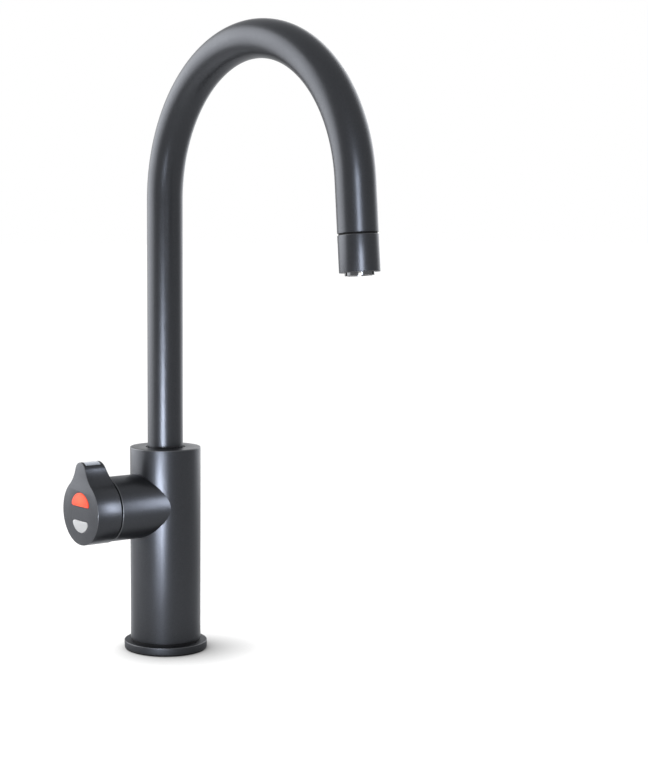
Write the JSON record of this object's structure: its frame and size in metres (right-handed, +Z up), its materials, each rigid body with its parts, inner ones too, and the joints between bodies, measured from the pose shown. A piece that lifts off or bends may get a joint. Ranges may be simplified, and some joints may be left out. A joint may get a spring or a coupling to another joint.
{
  "type": "boiling water tap",
  "caption": "Gooseneck boiling water tap with a swivelling spout, and a side knob with a lever, a hot button and a safety button.",
  "frame": {"origin": "on the axis of the body and shank, at the worktop's surface, under the base gasket", "axes": "+Z up, the spout points along -Y, the side control along -X"},
  "size_m": [0.1007, 0.2484, 0.517],
  "materials": {
    "gunmetal": "satin dark metallic coating with a fine grain",
    "black_rubber": "matte",
    "black_plastic": "fine moulded",
    "brass": "machined",
    "steel": "drawn",
    "chrome": "dark polished",
    "board_green": "coated board",
    "pale_plastic": "moulded",
    "hot_button": "translucent, lit from behind",
    "safety_button": "silver, satin",
    "tip_window": "translucent, lit from behind"
  },
  "bodies": {
    "tap_body": {"base_gasket": "black_rubber", "base_plate": "gunmetal", "body_seal": "black_rubber", "body_shell": "gunmetal", "body_foot": "brass", "body_grub_screw": "steel", "mount_shank": "brass", "swivel_manifold": "brass", "manifold_clip": "steel", "neck_bush": "black_plastic", "thrust_washer": "pale_plastic", "gland_seal": "black_rubber", "boiling_riser": "steel", "chilled_riser": "steel", "tail_block": "black_plastic", "inlet_collets": "pale_plastic", "signal_socket": "black_plastic", "signal_lead": "black_plastic", "spout_stop_screw": "steel", "arm_housing": "gunmetal", "bearing_plate": "brass", "glide_ring": "black_plastic", "stop_pin": "steel", "return_spring": "steel", "sensor_board": "board_green", "sensor_carrier": "black_plastic", "sensor_board_screws": "steel"},
    "spout": {"spout_tube": "gunmetal", "spout_spigot": "brass", "spigot_seals": "black_rubber", "spout_boiling_tube": "steel", "tube_spacers": "pale_plastic", "nozzle_adapter": "brass", "nozzle_seal": "black_rubber", "nozzle_collar": "gunmetal", "outlet_ring": "chrome", "flow_straightener": "pale_plastic"},
    "knob": {"knob_shell": "gunmetal", "knob_spindle": "brass", "spindle_clip": "steel", "spindle_driver": "brass", "sensor_magnet": "steel", "knob_screws": "steel", "knob_lead": "black_plastic", "button_board": "board_green", "button_switches": "black_plastic", "button_leds": "pale_plastic", "button_board_screws": "steel", "tip_strip": "black_plastic", "tip_window": "tip_window", "tip_light_guide": "pale_plastic"},
    "hot_button_body": {"hot_button": "hot_button", "hot_plunger": "pale_plastic"},
    "safety_button_body": {"safety_button": "safety_button", "safety_plunger": "pale_plastic"},
    "clamp": {"clamp_rubber_washer": "black_rubber", "clamp_steel_washer": "steel", "clamp_nut": "brass"}
  },
  "joints": [
    {"name": "spout_swivel", "type": "hinge", "parent": "tap_body", "child": "spout", "pos_m": [0, 0, 0.14], "axis": [0, 0, 1], "range_deg": [-90, 90]},
    {"name": "knob_turn", "type": "hinge", "parent": "tap_body", "child": "knob", "pos_m": [-0.05, 0, 0.1045], "axis": [-1, 0, 0], "range_deg": [-30, 30], "stiffness_Nm_per_rad": 0.2, "deforming": ["return_spring"]},
    {"name": "hot_press", "type": "slide", "parent": "knob", "child": "hot_button_body", "axis": [1, 0, 0], "range_m": [0, 0.0006], "stiffness_N_per_m": 2500, "springref_m": -0.0004},
    {"name": "safety_press", "type": "slide", "parent": "knob", "child": "safety_button_body", "axis": [1, 0, 0], "range_m": [0, 0.0006], "stiffness_N_per_m": 2500, "springref_m": -0.0004},
    {"name": "nut_travel", "type": "slide", "parent": "tap_body", "child": "clamp", "axis": [0, 0, -1], "range_m": [0, 0.075]}
  ]
}
